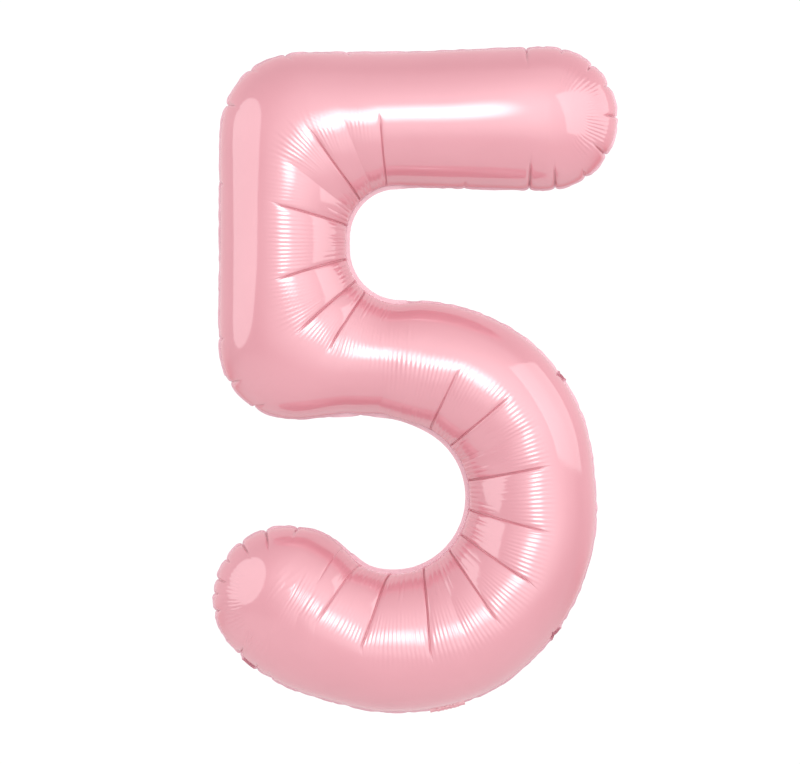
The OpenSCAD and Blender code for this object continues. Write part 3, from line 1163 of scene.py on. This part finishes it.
def stage_floor():
    """A pale round floor under the object, which fades into the white round it."""
    material, nodes, links, shader = node_material("floor")
    place = nodes.new("ShaderNodeTexCoord").outputs["Object"]
    tone = ramp(nodes, links, noise(nodes, links, 2, 2, place), *FLOOR_TONES)
    links.new(tone, shader.inputs["Base Color"])
    shader.inputs["Roughness"].default_value = 0.9
    radius = vector_math(nodes, links, "LENGTH", place)
    fade = band(nodes, links, radius, (FLOOR_R * FLOOR_PLAIN, FLOOR_R), (1, 0))
    links.new(fade, shader.inputs["Alpha"])
    mesh = bpy.data.meshes.new("floor")
    ring = FLOOR_R * at_angle(np.arange(0, 360, 5))
    mesh.from_pydata([(x, y, 0) for x, y in ring], [], [tuple(range(len(ring)))])
    mesh.materials.append(material)
    floor = bpy.data.objects.new("floor", mesh)
    floor.location = (AIM[0], 0, low.z - FLOOR_DROP)
    bpy.context.scene.collection.objects.link(floor)


def room_light(nodes, links):
    """What the foil mirrors: a soft room, pale behind and dark pink below, and the lamps."""
    parts = nodes.new("ShaderNodeSeparateXYZ")
    direction = nodes.new("ShaderNodeTexCoord").outputs["Generated"]
    links.new(direction, parts.inputs["Vector"])
    behind = band(nodes, links, parts.outputs["Y"], BACKDROP_FROM, (0, 1))
    rise = band(nodes, links, parts.outputs["Z"], RISE_FROM, (0, 1))
    backdrop = ramp(nodes, links, rise, ROOM_UNDER, ROOM_BACK, (0, 1))
    level = mixed_colour(nodes, links, behind, ROOM_FRONT, backdrop)
    ahead = band(nodes, links, parts.outputs["Y"], LAMPS_TO, (1, 0))
    for centre, reach, radiance in LAMPS:
        light = lamp(nodes, links, direction, centre, reach, radiance)
        level = vector_math(nodes, links, "ADD", level, product(nodes, links, light, ahead))
    return level


def studio_world():
    """The room's light on the object, and plain white behind it for the camera."""
    world = bpy.data.worlds.new("studio")
    bpy.context.scene.world = world
    world.use_nodes = True
    nodes, links = world.node_tree.nodes, world.node_tree.links
    room = nodes["Background"]
    links.new(room_light(nodes, links), room.inputs["Color"])
    white = nodes.new("ShaderNodeBackground")
    white.inputs["Color"].default_value = WHITE
    white.inputs["Strength"].default_value = WHITE_LEVEL
    path = nodes.new("ShaderNodeLightPath")
    mix = nodes.new("ShaderNodeMixShader")
    links.new(path.outputs["Is Camera Ray"], mix.inputs["Fac"])
    links.new(room.outputs["Background"], mix.inputs[1])
    links.new(white.outputs["Background"], mix.inputs[2])
    links.new(mix.outputs["Shader"], nodes["World Output"].inputs["Surface"])


def softbox(name, shape, azimuth, elevation, distance, width, height, radiance):
    """A soft light that faces the object; radiance is in the room's units."""
    light = bpy.data.lights.new(name, "AREA")
    light.shape = shape
    light.size = width
    light.size_y = height
    light.energy = radiance * math.pi * width * height
    obj = bpy.data.objects.new(name, light)
    a, e = math.radians(azimuth), math.radians(elevation)
    way = Vector((math.sin(a) * math.cos(e), -math.cos(a) * math.cos(e), math.sin(e)))
    obj.location = Vector(AIM) + way * distance
    obj.rotation_euler = way.to_track_quat("Z", "Y").to_euler()
    obj.visible_camera = False
    bpy.context.scene.collection.objects.link(obj)


def front_camera():
    """The camera, straight in front of the object and level."""
    data = bpy.data.cameras.new("camera")
    data.sensor_width = SENSOR
    data.lens = SENSOR * CAMERA_AWAY / VIEW_WIDTH
    camera = bpy.data.objects.new("camera", data)
    camera.location = AIM + np.array([0, -CAMERA_AWAY, 0])
    camera.rotation_euler = (math.pi / 2, 0, 0)
    bpy.context.scene.collection.objects.link(camera)
    bpy.context.scene.camera = camera
    bpy.context.scene.view_settings.view_transform = "Standard"


stage_floor()
studio_world()
for box in SOFTBOXES:
    softbox(*box)
front_camera()

bpy.context.view_layer.update()
